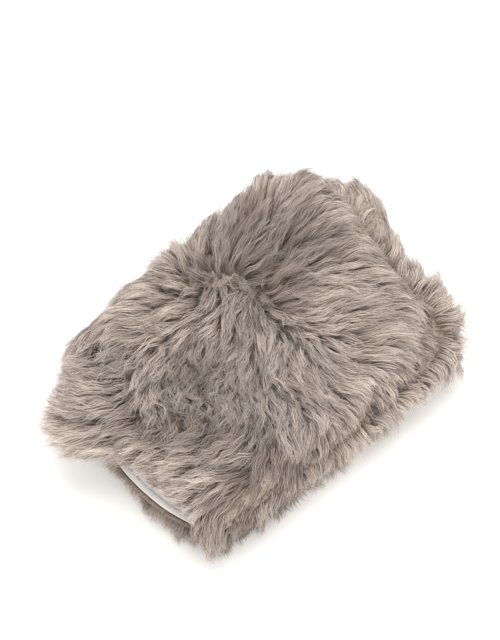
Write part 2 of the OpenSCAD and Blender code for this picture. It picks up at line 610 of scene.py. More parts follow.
@dataclass(frozen=True)
class ClothFinish(Finish):
    """Plain-woven or twill cloth: crossing threads that dent the light, and faint soiling.

    Threads are drawn coarser than real ones, so that the weave shows at all.
    """

    name: str
    thread_colour: str
    gap_colour: str
    thread_mm: float
    relief_mm: float = 0.12
    mottle_mm: float = 14.0
    mottle: float = 0.5

    def surface(self, tree: Tree) -> dict:
        """The colour and relief are two crossed bands of threads, and the colour is mottled.

        Args:
            tree: the material's node tree.

        Returns:
            The shader's inputs by name.
        """
        place = add(tree, "ShaderNodeTexCoord").outputs["Object"]
        # A band repeats when its place times its scale times 20 has grown by a full turn.
        scale = TAU / (20 * self.thread_mm * MM)
        bands = [
            add(tree, "ShaderNodeTexWave",
                {"Vector": place, "Scale": scale, "Distortion": 0.4, "Detail": 1.0},
                bands_direction=direction).outputs["Fac"]
            for direction in ("X", "Y")
        ]
        weave = add(tree, "ShaderNodeMath", {0: bands[0], 1: bands[1]}, operation="MULTIPLY")
        cloud = add(tree, "ShaderNodeTexNoise", {"Vector": place, "Scale": 1 / (self.mottle_mm * MM)})
        mixed = add(tree, "ShaderNodeMath",
                    {0: cloud.outputs["Fac"], 1: self.mottle, 2: weave.outputs[0]},
                    operation="MULTIPLY_ADD")
        colour = add(tree, "ShaderNodeValToRGB", {"Fac": mixed.outputs[0]},
                     ((0.1, self.gap_colour), (0.75, self.thread_colour)))
        bump = add(tree, "ShaderNodeBump",
                   {"Strength": 0.6, "Distance": self.relief_mm * MM,
                    "Height": weave.outputs[0]})
        return {"Base Color": colour.outputs["Color"], "Roughness": 0.85,
                "Specular IOR Level": 0.25, "Sheen Weight": 0.15,
                "Normal": bump.outputs["Normal"]}


@dataclass(frozen=True)
class HideFinish(Finish):
    """Tanned sheepskin, buffed on the flesh side: short nap, pores and cloudy tanning.

    Its browns are darkened as painted shade, for the dark line under the mouth's binding.
    """

    name: str = "sheepskin_tanned_buffed"
    # Both browns are darker than the tanned hide alone: they are also painted shade, for the line
    # under the binding.
    pale: str = "#745A45"
    dark: str = "#423327"
    cloud_mm: float = 11.0
    nap_mm: float = 0.7
    relief_mm: float = 0.2

    def surface(self, tree: Tree) -> dict:
        """The colour is clouds of two browns, and the relief a fine nap.

        Args:
            tree: the material's node tree.

        Returns:
            The shader's inputs by name.
        """
        place = add(tree, "ShaderNodeTexCoord").outputs["Object"]
        clouds, nap = (
            add(tree, "ShaderNodeTexNoise",
                {"Vector": place, "Scale": 1 / (size * MM), "Detail": detail}).outputs["Fac"]
            for size, detail in ((self.cloud_mm, 6.0), (self.nap_mm, 2.0))
        )
        bump = add(tree, "ShaderNodeBump",
                   {"Strength": 0.5, "Distance": self.relief_mm * MM, "Height": nap})
        colour = add(tree, "ShaderNodeValToRGB", {"Fac": clouds},
                     ((0.3, self.dark), (0.7, self.pale)))
        return {"Base Color": colour.outputs["Color"], "Roughness": 0.9,
                "Specular IOR Level": 0.2, "Normal": bump.outputs["Normal"]}


@dataclass(frozen=True)
class UnderwoolFinish(Finish):
    """Dense felted underwool near the skin, crimped and matt: dark as painted shade between the
    locks.
    """

    name: str = "underwool_dense_crimped"
    # Both colours are darkened as painted shade, deep between the locks.
    dark: str = "#84766C"
    pale: str = "#B5A89E"
    crimp_mm: float = 2.2
    relief_mm: float = 0.8

    def surface(self, tree: Tree) -> dict:
        """The colour and the relief are one fine swirled noise.

        Args:
            tree: the material's node tree.

        Returns:
            The shader's inputs by name.
        """
        place = add(tree, "ShaderNodeTexCoord").outputs["Object"]
        crimp = add(tree, "ShaderNodeTexNoise",
                    {"Vector": place, "Scale": 1 / (self.crimp_mm * MM), "Detail": 4.0,
                     "Distortion": 1.4}).outputs["Fac"]
        bump = add(tree, "ShaderNodeBump",
                   {"Strength": 0.8, "Distance": self.relief_mm * MM, "Height": crimp})
        colour = add(tree, "ShaderNodeValToRGB", {"Fac": crimp},
                     ((0.35, self.dark), (0.7, self.pale)))
        return {"Base Color": colour.outputs["Color"], "Roughness": 0.95,
                "Specular IOR Level": 0.15, "Normal": bump.outputs["Normal"]}


@dataclass(frozen=True)
class PaperFinish(Finish):
    """Matt white background paper, which gives off no gloss at all."""

    name: str = "floor_paper_matt"
    colour: str = "#FBFAF8"

    def surface(self, tree: Tree) -> dict:
        """The paper is even, and only catches the mitt's shadow."""
        return {"Base Color": srgb(self.colour), "Roughness": 0.95, "Specular IOR Level": 0.0}


class Finishes:
    """Every material of the mitt, each built once."""

    def __init__(self) -> None:
        """Builds them."""
        self.wool = WoolFinish().build()
        self.underwool = UnderwoolFinish().build()
        self.hide = HideFinish().build()
        self.lining = ClothFinish("lining_cotton_woven", "#FAF9FA", "#E6E4E6", 0.9).build()
        self.tape = ClothFinish("binding_tape_cotton_folded", "#FBFAF8", "#DCD8D2", 0.7).build()
        self.thread = ClothFinish("thread_polyester_spun", "#EFEAE2", "#B7AEA2", 0.5).build()


# ---------------------------------------------------------------- the comb

# Strokes of the comb over the back: x and y in mm, and where the tips head, in degrees from +X.
BACK_STROKES = (
    # the far edge and the crown, combed up and over towards the tip
    (70, 90, 35), (45, 85, 30), (85, 80, 20), (105, 75, 25), (60, 60, 15), (85, 55, 0),
    (110, 50, -30), (100, 25, -30), (35, 50, 0), (65, 30, -10), (15, 80, 50), (-5, 85, 75),
    # the fan on the mouth side of the crown
    (-20, 60, 170), (-30, 80, 155), (-50, 80, 145), (-40, 50, 165), (-70, 75, 150),
    (-60, 50, 160), (-35, 35, 180), (-85, 80, 180), (-75, 55, 150),
    # the hook where the fan curls under
    (-95, 75, 220), (-100, 65, 265), (-90, 55, 310),
    # down the middle
    (-15, 40, 225), (5, 25, 235), (-20, 10, 220), (10, 5, 240), (-55, 30, 205), (-20, -15, 205),
    (-85, 35, 220), (-75, 15, 235), (-55, -5, 230), (-50, -25, 225), (-95, 30, 195),
    # the cuff lobe
    (-105, 48, 115), (-120, 58, 110), (-115, 34, 136), (-136, 55, 124), (-125, 20, 155),
    (-130, 36, 140), (-144, 42, 142), (-152, 46, 142), (-148, 28, 158), (-140, 13, 170),
    (-152, 14, 174), (-128, 3, 180),
    # curls above the mouth
    (-95, 0, 265), (-85, -15, 260), (-70, -35, 215), (-55, -45, 245), (-35, -50, 250),
    # the long wool over the mouth
    (-125, 5, 175), (-110, -20, 150), (-85, -45, 155), (-70, -65, 145), (-115, -40, 150),
    (-90, -60, 155), (-105, -65, 165), (-95, -75, 190),
    # the right corner of the mouth
    (-110, -85, 230), (-95, -95, 220), (-75, -90, 220), (-60, -90, 225), (-40, -95, 245),
    # the right edge
    (-30, -75, 235), (-15, -85, 245), (5, -90, 270), (-15, -55, 260), (0, -65, 280),
    (20, -85, 285), (45, -85, 290), (60, -90, 295),
    # the smooth wool past the parting
    (5, -15, 225), (15, -30, 245), (-5, -40, 255), (15, -50, 280), (25, -15, 280), (35, 5, -30),
    (50, -10, -25), (70, -15, -65), (95, -25, -40), (45, -35, -45), (70, -50, -40),
    (95, -60, -40), (40, -60, -35), (65, -75, -40), (25, -70, -65), (85, -70, -50),
    (75, 10, -35), (100, 0, -45), (45, 20, -15),
)
# Strokes over the palm: towards the tip in the middle, and outwards round the edge.
PALM_STROKES = (
    (-70, 5, 20), (-20, -30, -15), (-10, 30, 20), (50, 0, 5), (-70, -45, -30), (60, 45, 30),
    (125, 0, 0), (110, 60, 35), (110, -60, -35), (40, 85, 80), (40, -90, -80), (-40, 85, 95),
    (-40, -90, -95), (-100, 75, 125), (-105, -85, 230), (-125, 40, 160), (-128, 0, 180),
    (-124, -50, 200),
)
# Strokes over the strip at the tip.
TIP_STROKES = (
    (135, 55, 45), (140, 40, 40), (130, 15, 28), (125, -10, 42), (125, -25, 60), (130, -40, 40),
    (120, -50, 20), (120, -60, -15), (110, -70, -55), (100, -80, -80), (85, -85, -80),
)


@dataclass(frozen=True)
class Comb:
    """The lie of the wool: nearby strokes of the comb, averaged.

    Attributes:
        strokes: rows of x and y in mm and heading in degrees.
        reach: how far a stroke carries, in mm.
        outward: weight of lying outwards, where a stroke's own weight is 1.
    """

    strokes: tuple[tuple[float, float, float], ...]
    reach: float = 14.0
    outward: float = 0.02

    def lie(self, places: Array) -> tuple[Array, Array]:
        """The wool's heading at places on the mitt.

        A stroke's weight falls off as a bell curve with distance. Far from every stroke the
        wool lies outwards.

        Args:
            places: (n, 3) or (n, 2) places in mm.

        Returns:
            (n, 3) level unit vectors, and (n, 1) agreement of the strokes, from 0 to 1.
        """
        rows = np.array(self.strokes, float)
        heading = np.radians(rows[:, 2])
        away = places[:, None, :2] - rows[None, :, :2]
        weight = np.exp(-np.sum(away**2, -1) / (2 * self.reach**2))
        total = weight @ np.stack([np.cos(heading), np.sin(heading)], -1)
        total = total + unit(places[:, :2]) * self.outward
        agreement = np.linalg.norm(total, axis=-1) / (weight.sum(-1) + self.outward)
        return level(unit(total)), np.clip(agreement, 0, 1)[:, None]


class Outwards:
    """Wool that lies straight out from the middle of the mitt."""

    def lie(self, places: Array) -> tuple[Array, Array]:
        """Returns (n, 3) level unit vectors away from the origin, and full agreement."""
        return level(unit(places[:, :2])), np.ones((len(places), 1))


@dataclass(frozen=True)
class Lock:
    """The build of one kind of lock. Lengths are in mm and angles in degrees.

    Attributes:
        length: usual length of a strand past the underwool.
        spread: radius of the lock at its root.
        gather: how far the strands close up at the tip, from 0 to 1.
        strands: strands in a lock.
        thickness: radius of a strand.
        root_lift: angle from the surface at the root.
        tip_lift: angle from the surface at the tip.
        wave: height of the crimp.
        wavelength: length of one crimp.
        tuft: locks that close up to one leader.
        tuft_pull: how far they do at the tip, from 0 to 1.
        wander: how far a strand's tip strays from its lock.
        fray: how unevenly the locks end past the reach.
        points: points along a strand.
    """

    length: float = 32.0
    spread: float = 2.7
    gather: float = 0.42
    strands: int = 12
    thickness: float = 0.4
    root_lift: float = 42.0
    tip_lift: float = 2.0
    wave: float = 1.25
    wavelength: float = 19.0
    tuft: int = 7
    tuft_pull: float = 0.42
    wander: float = 1.1
    fray: float = 4.0
    points: int = 8


@dataclass(frozen=True)
class Spots:
    """A quality of the wool that is strong in a few soft round spots.

    Attributes:
        rows: x, y and radius in mm, and the strength in the middle.
    """

    rows: tuple[tuple[float, float, float, float], ...]

    def at(self, places: Array) -> Array:
        """Sums the spots' strengths, each spot a bell curve.

        Args:
            places: (n, 2) or (n, 3) places in mm.

        Returns:
            (n,) strengths.
        """
        x, y, radius, amount = np.array(self.rows, float).T
        away = np.hypot(places[:, :1] - x, places[:, 1:2] - y)
        return np.exp(-((away / radius) ** 2)) @ amount


# How much more than usual the crimp curls.
CURLS = Spots(((-60, -8, 34, 1.4), (-88, 45, 16, 0.7), (45, 35, 28, 0.5), (-10, -60, 26, 0.6)))
# How many degrees more than usual the wool stands up.
STANDING = Spots(((60, 86, 34, 32), (84, 90, 18, 28), (5, 88, 34, 18), (-18, 62, 16, 18),
                  (18, 0, 12, 14), (45, 48, 26, 10), (-104, 66, 12, 8), (-75, -8, 22, 10)))
# Where the wool lies out level from the cuff lobe.
LOBE = Spots(((-148, 30, 38, 1.0),))
# Where the locks are trimmed to end at the outline: the lobe and the mouth.
TRIMMED = Spots(((-150, 40, 42, 1.3), (-128, -25, 30, 1.3), (-126, -56, 22, 1.3),
                 (-114, 76, 16, 1.3)))
# How much longer than usual the wool is, as a share.
LONGER = Spots(((76, 88, 30, 0.35), (-135, 28, 26, 0.32), (145, 28, 24, 0.6),
                (-112, 76, 14, -0.3), (-100, -92, 18, -0.15)))
# How deeply the dye took, and painted shade: some spots darken the wool as shade along the
# line under the locks that hang over the mouth, and at the near corner.
DYE_AND_PAINTED_SHADE = Spots(((48, 50, 34, 0.75), (15, 22, 26, 0.45), (-20, 58, 22, 0.45), (-72, 2, 34, 0.35),
             (-45, -30, 26, 0.35), (-10, -62, 24, 0.3), (-96, 60, 14, 0.15), (-100, -84, 18, 0.35),
             (-66, -76, 17, 0.5), (-26, -4, 15, 0.3), (-52, 10, 14, 0.5), (30, 72, 16, 0.35),
             (38, 20, 14, 0.45), (82, 40, 16, 0.5), (68, 92, 18, 0.4), (96, 20, 12, 0.3),
             (112, -62, 14, 0.3), (30, 92, 24, 0.3), (-100, -12, 11, 0.35), (-85, -28, 11, 0.4),
             (-67, -45, 11, 0.4), (-46, -62, 12, 0.35), (-84, -42, 16, 0.4), (-54, -92, 18, 0.45),
             (-92, -88, 18, 0.4), (42, 8, 16, 0.4), (87, 12, 14, 0.3), (76, 32, 15, 0.3),
             (63, 85, 16, 0.35), (111, 87, 18, 0.35), (-116, 2, 14, 0.4), (-59, -12, 15, 0.3),
             (106, -73, 12, 0.5), (-115, 25, 12, 0.25), (6, -7, 14, 0.25), (36, -38, 18, -0.9),
             (-90, -78, 15, 0.45), (22, -91, 14, -0.9), (-84, -44, 12, 0.3), (-63, -82, 13, 0.35),
             (-108, -12, 11, 0.35), (122, -48, 14, -0.6), (-95, 46, 12, 0.3), (-41, -102, 14, 0.3),
             (-11, -106, 12, 0.3), (-28, -36, 11, 0.3), (6, 39, 11, 0.3), (-65, -3, 12, 0.3),
             (42, 10, 11, 0.3), (-94, -81, 14, 0.35), (-113, 34, 12, 0.35), (98, 62, 13, 0.35),
             (-11, 65, 12, 0.3), (4, 4, 12, 0.3), (69, -50, 12, 0.3), (-122, -81, 12, 0.35),
             (-93, -21, 11, 0.3)))

# How deep a lock's root sits in the underwool, in mm.
ROOT_DEPTH = 2.5
# The least that trimming leaves of a lock, as a share of its length.
SHORTEST = 0.45
# How firmly the reach holds locks in once they're trimmed, and how far it bends them down.
HOLD = 0.75
BENT_DOWN = 0.65
# How far locks stray from the comb's heading, in degrees: whole tufts, each lock by itself,
# curly ones, and those where the strokes disagree. Locks of the cuff lobe stray by less.
TUFT_STRAY = 10
LOCK_STRAY = 4
CURLY_STRAY = 6
PARTED_STRAY = 34
LOBE_CALM = 0.6
# How much more wool stands up where the strokes disagree, by patches, and lock by lock.
PARTED_STAND = 30
PATCH_STAND = 5
LOCK_STAND = 5
# How unevenly the locks' ends stand past the reach, from the mouth, at -X, to the tip.
RAGGED_X = (-115, -80, 60, 105)
RAGGED = (0.5, 1, 1, 2.2)


@dataclass
class Course:
    """How each lock of a pile sets out. Angles are in radians and lengths in mm.

    Attributes:
        turned: how far it strays from the comb's heading.
        length: how long it is.
        lift_root: how far it's tipped up from the surface at the root.
        lift_tip: the same at the tip.
        slack: how far past the reach it may go.
    """

    turned: Array
    length: Array
    lift_root: Array
    lift_tip: Array
    slack: Array


@dataclass(frozen=True)
class Pile:
    """Wool that grows from a skin.

    Attributes:
        region: which stretch of the mitt it covers.
        skin: what it grows from.
        comb: how it lies.
        lock: what its locks are like.
        count: how many locks.
        facing: gives the surface's outward unit normals at places.
        fall: gives how strongly the wool hangs down at places, from 0 to 1.
        reach: the outline past which locks bend down instead of reaching on.
        seed: seed of its chance.
        parts: how many pieces it is split into.
        coat: the kind of hair.
        painted_shade: how much darker than the back its wool is coloured, from 0 to 1, as painted
            shade.
    """

    region: Region
    skin: Skin
    comb: Comb | Outwards
    lock: Lock
    count: int
    facing: Callable[[Array], Array]
    fall: Callable[[Array], Array]
    reach: Outline
    seed: int
    parts: int = 1
    coat: Coat = Coat.WOOL
    painted_shade: float = 0.0

    def centrelines(self, rng: np.random.Generator) -> tuple[Array, Array]:
        """Grows one centreline for each lock, trimmed at the mouth and drawn into tufts.

        Args:
            rng: source of chance.

        Returns:
            (count, points, 3) centrelines and (count, 3) normals at the roots.
        """
        place, normal = self.skin.scatter(self.count, rng)
        course = self.course(place, rng)
        root = place - normal * ROOT_DEPTH
        free = self.grow(root, course, 0.0)
        over = np.max([self.reach.past(free[:, k]) for k in range(free.shape[1])], axis=0)
        over = np.maximum(over - course.slack, 0) * np.clip(TRIMMED.at(place), 0, 1)
        course.length = np.maximum(course.length - over[:, None], SHORTEST * course.length)
        _, order = self.comb.lie(place)
        share = np.minimum(course.length / self.lock.length, 1) * order
        return self.tufted(self.grow(root, course, HOLD), share, rng), normal

    def course(self, place: Array, rng: np.random.Generator) -> Course:
        """Draws how each lock sets out. Neighbours share most of their bend and length.

        Args:
            place: (count, 3) roots.
            rng: source of chance.

        Returns:
            The locks' courses.
        """
        lock = self.lock
        _, order = self.comb.lie(place)
        column = (self.count, 1)
        curl = CURLS.at(place)[:, None]
        tuft = ripples(place[:, :2], 34, self.seed + 1)[:, None]
        patch = ripples(place[:, :2], 21, self.seed + 2)[:, None]
        loose = LOCK_STRAY + CURLY_STRAY * curl + PARTED_STRAY * (1 - order)
        turned = TUFT_STRAY * tuft + loose * rng.normal(0, 1, column)
        turned = turned * (1 - LOBE_CALM * np.clip(LOBE.at(place)[:, None], 0, 1))
        length = lock.length * (1 + 0.13 * patch) * rng.lognormal(0, 0.08, column)
        length = length * (1 + LONGER.at(place)[:, None] - 0.14 * np.clip(curl, 0, 1.5))
        stand = STANDING.at(place)[:, None] + PARTED_STAND * (1 - order) + PATCH_STAND * patch
        return Course(
            turned=np.radians(turned),
            length=length,
            lift_root=np.radians(lock.root_lift + stand + rng.normal(0, LOCK_STAND, column)),
            lift_tip=np.radians(lock.tip_lift + stand + rng.normal(0, LOCK_STAND, column)),
            slack=rng.normal(0, lock.fray, self.count) * np.interp(place[:, 0], RAGGED_X, RAGGED),
        )

    def grow(self, root: Array, course: Course, hold: float) -> Array:
        """Carries each lock from its root, step by step.

        Each step goes along the lie of the wool in the surface, plus the fall, tipped up by a
        lift that eases from the root's to the tip's. Past the reach, a step turns down.

        Args:
            root: (n, 3) roots.
            course: how each lock sets out.
            hold: how firmly the reach holds the locks in, from 0 to 1.

        Returns:
            (n, points, 3) centrelines.
        """
        points = self.lock.points
        step = course.length / (points - 1)
        line = [root]
        for k in range(points - 1):
            p = line[-1]
            t = k / (points - 2)
            lie, _ = self.comb.lie(p)
            turn = course.turned * (0.4 + 0.9 * t)
            lie = lie * np.cos(turn) + np.cross(UP, lie) * np.sin(turn)
            facing = self.facing(p)
            along = lie - UP * self.fall(p)
            along = unit(along - dot(along, facing) * facing)
            lift = course.lift_root + (course.lift_tip - course.lift_root) * t**0.6
            p = p + (along * np.cos(lift) + facing * np.sin(lift)) * step
            past = np.maximum(self.reach.past(p) - course.slack, 0)[:, None] * hold
            p = p - unit(p * [1, 1, 0]) * past - UP * BENT_DOWN * past
            line.append(self.kept_in(p))
        return np.stack(line, 1)

    @staticmethod
    def kept_in(p: Array) -> Array:
        """Keeps wool off the ground, and eases it towards the crown and the far side.

        Past the soft limit, what is left to the hard one is taken up as a hyperbolic tangent.

        Args:
            p: (..., 3) places in mm.

        Returns:
            The places, moved.
        """
        p = p.copy()
        for axis, soft, hard in ((1, SOFT_FAR_SIDE, FAR_SIDE), (2, SOFT_CEILING, CROWN)):
            over = np.maximum(p[..., axis] - soft, 0) / (hard - soft)
            p[..., axis] = np.minimum(p[..., axis], soft) + (hard - soft) * np.tanh(over)
        p[..., 2] = np.maximum(p[..., 2], GROUND_CLEARANCE)
        return p

    def tufted(self, line: Array, share: Array, rng: np.random.Generator) -> Array:
        """Draws the tips of neighbouring locks together.

        Every few locks, one leads. The others close up to their nearest leader, by a share
        that grows from nothing at the root.

        Args:
            line: (count, points, 3) centrelines.
            share: (count, 1) shares of the usual length, which short locks close up less by.
            rng: source of chance.

        Returns:
            (count, points, 3) centrelines.
        """
        leader = rng.choice(len(line), len(line) // self.lock.tuft, replace=False)
        away = line[:, None, 0, :2] - line[None, leader, 0, :2]
        nearest = leader[np.argmin(np.sum(away**2, -1), 1)]
        pull = self.lock.tuft_pull * smoothstep(0.1, 1, np.linspace(0, 1, line.shape[1]))
        return line + (line[nearest] - line) * (share**2 * pull)[:, :, None]

    def strands(self, rng: np.random.Generator) -> tuple[Array, Array, Array]:
        """Splits each centreline into strands that crimp and close up towards the tip.

        Args:
            rng: source of chance.

        Returns:
            (n, points, 3) strands, (n, points) radii, and (n, 3) tones for the strand, its
            lock and its dye with painted shade.
        """
        lock = self.lock
        line, normal = self.centrelines(rng)
        count, points = line.shape[:2]
        t = np.linspace(0, 1, points)
        ahead = unit(np.gradient(line, axis=1))
        side = unit(np.cross(ahead, normal[:, None, :]))
        upper = np.cross(side, ahead)
        root = line[:, 0]
        curl = CURLS.at(root)[:, None]
        run = np.cumsum(np.linalg.norm(np.gradient(line, axis=1), axis=-1), axis=1)
        pace = TAU / (lock.wavelength * rng.uniform(0.85, 1.2, (count, 1)) / (1 + 0.35 * curl))
        phase = 1.8 * ripples(root[:, :2], 24, self.seed + 5)[:, None]
        phase = phase + rng.normal(0, 0.3, (count, 1))
        grow = smoothstep(0.05, 0.7, t)[None, :]
        height = lock.wave * (1 + curl) * rng.uniform(0.5, 1.4, (count, 1)) * grow
        sway = (height * np.sin(pace * run + phase))[..., None] * side
        sway += (0.45 * height * np.cos(pace * run + phase * 1.3))[..., None] * upper
        line = line + sway

        many = (count, lock.strands, 1)
        angle = rng.uniform(0, TAU, many)
        reach = lock.spread * np.sqrt(rng.random(many)) * rng.lognormal(0, 0.25, many)
        _, order = self.comb.lie(root)
        close = 1 - lock.gather * order[:, None] * smoothstep(0.1, 1, t)
        wander = rng.normal(0, lock.wander, (2, *many)) * t**1.6
        own = rng.uniform(0, TAU, many)
        shiver = 0.18 * (1 + curl[:, None]) * grow[:, None] * np.sin(
            1.9 * pace[:, None] * run[:, None] + own
        )
        sideways = np.cos(angle) * reach * close + wander[0] + shiver
        upwards = np.sin(angle) * reach * close * 0.7 + wander[1]
        spot = rng.uniform(0.62, 1.04, many) ** 0.8 * t * (points - 1)
        low = np.minimum(spot.astype(int), points - 2)
        rest = (spot - low)[..., None]
        row = np.arange(count)[:, None, None]
        body = line[row, low] * (1 - rest) + line[row, low + 1] * rest
        body = body + sideways[..., None] * side[row, low] + upwards[..., None] * upper[row, low]
        body = self.kept_in(body.reshape(-1, points, 3))
        taper = (1 - smoothstep(0.3, 1.0, t) * 0.9)[None, :]
        radius = lock.thickness * rng.lognormal(0, 0.2, (len(body), 1)) * taper
        cloud = 0.14 * ripples(root[:, :2], 18, self.seed + 7)
        # How dark the lock is coloured: dye spots that also hold painted shade, the pile's painted
        # shade and a random cloud.
        dye_and_shade = DYE_AND_PAINTED_SHADE.at(line[:, 2 * points // 3]) + self.painted_shade + cloud
        own_tone = rng.random(len(body))
        of_lock = np.stack([rng.random(count), np.clip(dye_and_shade, 0, 1)], -1)
        tones = np.column_stack([own_tone, np.repeat(of_lock, lock.strands, axis=0)])
        return body, radius, tones

    def build(self, material: bpy.types.Material, node: str) -> None:
        """Makes the pile's pieces.

        Args:
            material: the wool's finish.
            node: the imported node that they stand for.
        """
        body, radius, tones = self.strands(np.random.default_rng(self.seed))
        cuts = np.linspace(0, self.count, self.parts + 1).astype(int) * self.lock.strands
        for index, (start, end) in enumerate(zip(cuts[:-1], cuts[1:])):
            name = f"{self.region.value}_{self.coat.value}_{index + 1}"
            take = slice(start, end)
            points, faces = tubes(body[take], radius[take], FIBRE_SIDES, FIBRE_FLATNESS)
            piece = make_piece(name, points, faces, node, material)
            mark_fibres(piece, tones[take], self.lock.points)


def tubes(
    lines: Array, radius: Array, sides: int, flatness: float = 1.0
) -> tuple[Array, list[Array]]:
    """Carries a round section along each line and closes it to a point at the tip.

    The section turns with the line and never twists: each point's side vector is the last
    one's, less its part along the line.

    Args:
        lines: (n, k, 3) centrelines in mm.
        radius: (n, k) radii in mm.
        sides: corners of the section.
        flatness: the section's height as a share of its width.

    Returns:
        (v, 3) points and the blocks of faces.
    """
    count, length = lines.shape[:2]
    ahead = unit(np.gradient(lines, axis=1))
    seed = np.where(np.abs(ahead[:, 0, 2:3]) < 0.9, [[0.0, 0.0, 1.0]], [[1.0, 0.0, 0.0]])
    side = unit(seed - dot(seed, ahead[:, 0]) * ahead[:, 0])
    sideways = [side]
    for k in range(1, length):
        side = unit(side - dot(side, ahead[:, k]) * ahead[:, k])
        sideways.append(side)
    b = np.stack(sideways, 1)
    n = np.cross(ahead, b)
    turn = np.arange(sides) / sides * TAU
    ring = np.cos(turn)[:, None] * b[:, :, None, :] * flatness
    ring = ring + np.sin(turn)[:, None] * n[:, :, None, :]
    rings = lines[:, :, None, :] + ring * radius[:, :, None, None]
    each = sides * (length - 1) + 1
    points = np.concatenate([rings[:, :-1].reshape(count, -1, 3), lines[:, -1:]], 1)
    base = (np.arange(count) * each)[:, None, None]
    last = (length - 2) * sides + np.arange(sides)
    faces = [
        (base + lattice(length - 1, sides)).reshape(-1, 4),
        (base + fan(last, each - 1)).reshape(-1, 3),
        (base[:, 0] + np.arange(sides)[::-1]).reshape(-1, sides),
    ]
    return points.reshape(-1, 3), faces


def mark_fibres(piece: bpy.types.Object, tones: Array, points: int) -> None:
    """Stores what the wool's finish reads at each vertex.

    Red is the share of the way along the strand, green the strand's tone, which differs a
    little from corner to corner, blue its lock's tone and alpha how dark the dye and the
    painted shade make it.

    Args:
        piece: the wool.
        tones: (n, 3) tones of the strand, its lock and its dye with painted shade.
        points: points along a strand.
    """
    along = np.append(np.repeat(np.linspace(0, 1, points)[:-1], FIBRE_SIDES), 1.0)
    corner = np.append(np.tile(np.linspace(-0.2, 0.2, FIBRE_SIDES), points - 1), 0.0)
    data = np.empty((len(tones), len(along), 4), np.float32)
    data[..., 0] = along
    data[..., 1] = np.clip(tones[:, 0:1] + corner, 0, 1)
    data[..., 2] = tones[:, 1:2]
    data[..., 3] = tones[:, 2:3]
    layer = piece.data.attributes.new(FIBRE, "FLOAT_COLOR", "POINT")
    layer.data.foreach_set("color", data.ravel())


# ---------------------------------------------------------------- the mitt


def sheet_form(name: str, node: str, material: bpy.types.Material) -> bpy.types.Object:
    """A hide or lining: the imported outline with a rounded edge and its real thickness.

    The rings go from the middle out along the lower face, round the edge and back along the
    upper face.

    Args:
        name: name of the piece.
        node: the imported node, which gives outline, height and thickness.
        material: its finish.

    Returns:
        The new object.
    """
    low, high = levels(node)
    half = (high - low) / 2
    outline = Outline.of_node(node)
    shares = np.linspace(0.06, 0.97, 16)
    angle = np.linspace(-math.pi / 2, math.pi / 2, 7)
    rim = half / outline.radius.mean()
    profile = np.concatenate([
        np.stack([shares, np.full(16, low)], -1),
        np.stack([1 - rim + rim * np.cos(angle), low + half + half * np.sin(angle)], -1),
        np.stack([shares[::-1], np.full(16, high)], -1),
    ])
    grid = rings_over(outline, profile, round_the_clock())
    return closed_form(name, grid, node, material, np.array([[0, 0, low], [0, 0, high]], float))


@dataclass
class Panel:
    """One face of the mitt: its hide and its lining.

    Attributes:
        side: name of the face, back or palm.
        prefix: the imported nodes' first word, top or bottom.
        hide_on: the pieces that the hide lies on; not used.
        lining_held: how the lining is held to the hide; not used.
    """

    side: str
    prefix: str
    hide_on: tuple[str, ...]
    lining_held: str

    def build(self, finishes: Finishes) -> None:
        """Args:
            finishes: the mitt's materials.
        """
        for part, finish, held, under in (
            ("hide", finishes.hide, "laid", self.hide_on),
            ("lining", finishes.lining, self.lining_held, (f"{self.side}_hide",)),
        ):
            node = f"{self.prefix}_{part}"
            piece = sheet_form(f"{self.side}_{part}", node, finish)
            Outline.of_node(node).area() * MM**2


@dataclass
class Wall:
    """The side wall: three strips of hide, and the lining inside them. Sizes are in mm.

    Attributes:
        hide: how thick the hide is.
        lining: how thick the lining is.
        stations: places along each strip.
    """

    hide: float = 1.4
    lining: float = 0.5
    stations: int = 90

    def build(self, finishes: Finishes) -> None:
        """Builds each strip as a thin band between two insets of the palm hide's outline.

        Args:
            finishes: the mitt's materials.
        """
        outside, inside = (0.0, self.hide), (self.hide, self.hide + self.lining)
        edge = Outline.of_node("bottom_hide")
        for name, node, (outer, inner), finish in (
            ("right_wall_hide", "right_side_hide", outside, finishes.hide),
            ("tip_wall_hide", "tip_hide", outside, finishes.hide),
            ("left_wall_hide", "left_side_hide", outside, finishes.hide),
            ("pocket_wall_lining", "wall_lining", inside, finishes.lining),
        ):
            low, high = levels(node)
            section = np.array([[inner, low], [outer, low], [outer, high], [inner, high]])
            grid = band(edge, section, np.linspace(*span_of(node), self.stations))
            piece = closed_form(name, grid, node, finish)


def band(edge: Outline, section: Array, headings: Array) -> Array:
    """Carries a closed section along an outline.

    Args:
        edge: the outline.
        section: (q, 2) rows of how far inside the outline and of z, in mm.
        headings: (s,) headings of the stations in radians.

    Returns:
        (s, q, 3) places.
    """
    return polar(edge.at(headings)[:, None] - section[:, 0], headings[:, None], section[:, 1])


